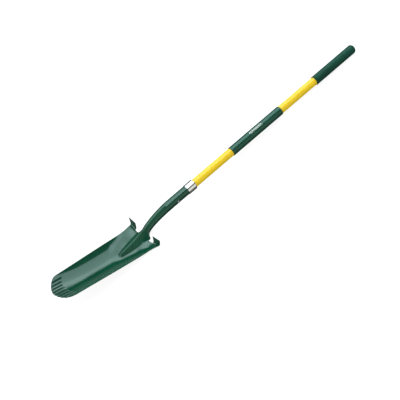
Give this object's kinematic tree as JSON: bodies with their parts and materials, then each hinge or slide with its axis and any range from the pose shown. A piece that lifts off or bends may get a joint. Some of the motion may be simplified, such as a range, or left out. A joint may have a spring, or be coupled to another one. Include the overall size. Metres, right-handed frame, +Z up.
{
  "type": "trenching spade",
  "caption": "Long-handled trenching spade: narrow pressed gutter blade with fluted tip, turned steps, rolled socket, collar and tubular handle with two sleeves.",
  "frame": {"origin": "centre of the bounding box's bottom face, with the spade lying on its back on z = 0", "axes": "+X from the blade's tip towards the butt of the handle, +Z up, out of the trough of the blade"},
  "size_m": [1.5078, 0.1886, 0.0836],
  "materials": {
    "green_paint": "gloss",
    "polished_steel": "polished",
    "rivet_steel": "satin",
    "yellow_fibreglass": "gloss",
    "dowel_wood": "matte",
    "plug_plastic": "matte",
    "green_sleeve": "gloss",
    "green_grip": "matte"
  },
  "bodies": {
    "root": {"blade_and_socket": "green_paint", "collar": "polished_steel", "socket_rivet": "rivet_steel", "handle_tube": "yellow_fibreglass", "core_plug": "dowel_wood", "butt_plug": "plug_plastic", "middle_sleeve": "green_sleeve", "end_grip": "green_grip"}
  },
  "joints": []
}
